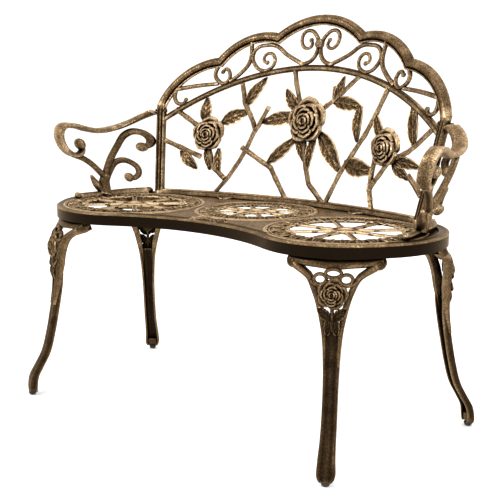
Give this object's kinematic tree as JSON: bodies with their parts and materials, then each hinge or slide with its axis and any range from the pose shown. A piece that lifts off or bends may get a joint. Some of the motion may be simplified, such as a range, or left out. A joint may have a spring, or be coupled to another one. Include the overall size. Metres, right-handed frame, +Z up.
{
  "type": "garden bench",
  "caption": "Two-seat cast garden bench with a pierced kidney-shaped seat, a curved rose-tracery back, scrolled arms and cabriole legs.",
  "frame": {"origin": "centre of the bench's footprint box, on the floor", "axes": "+X to the right arm as seen from the front, +Y to the back, +Z up"},
  "size_m": [1, 0.562, 0.822],
  "materials": {
    "cast_bronze": "antique bronze powder coat, dark in the recesses and rubbed gold on the raised edges, finely hammered",
    "fastener_steel": "zinc-plated and dulled",
    "glide_nylon": "moulded nylon, satin"
  },
  "bodies": {
    "root": {"arm_left": "cast_bronze", "arm_post_bolts": "fastener_steel", "arm_right": "cast_bronze", "arm_seat_bolts": "fastener_steel", "arm_seat_washers": "fastener_steel", "back_arch": "cast_bronze", "back_collar": "cast_bronze", "back_crest": "cast_bronze", "back_post_left": "cast_bronze", "back_post_right": "cast_bronze", "back_seat_bolts": "fastener_steel", "back_seat_rail": "cast_bronze", "back_seat_washers": "fastener_steel", "glide_front_left": "glide_nylon", "glide_front_right": "glide_nylon", "glide_rear_left": "glide_nylon", "glide_rear_right": "glide_nylon", "leg_bolts": "fastener_steel", "leg_front_left": "cast_bronze", "leg_front_right": "cast_bronze", "leg_rear_left": "cast_bronze", "leg_rear_right": "cast_bronze", "leg_washers": "fastener_steel", "rose_left": "cast_bronze", "rose_middle": "cast_bronze", "rose_right": "cast_bronze", "scroll_large_left": "cast_bronze", "scroll_large_right": "cast_bronze", "scroll_lyre": "cast_bronze", "scroll_side_left": "cast_bronze", "scroll_side_right": "cast_bronze", "scroll_small_left": "cast_bronze", "scroll_small_right": "cast_bronze", "seat_plate": "cast_bronze", "vine_left": "cast_bronze", "vine_middle": "cast_bronze", "vine_right": "cast_bronze"}
  },
  "joints": []
}
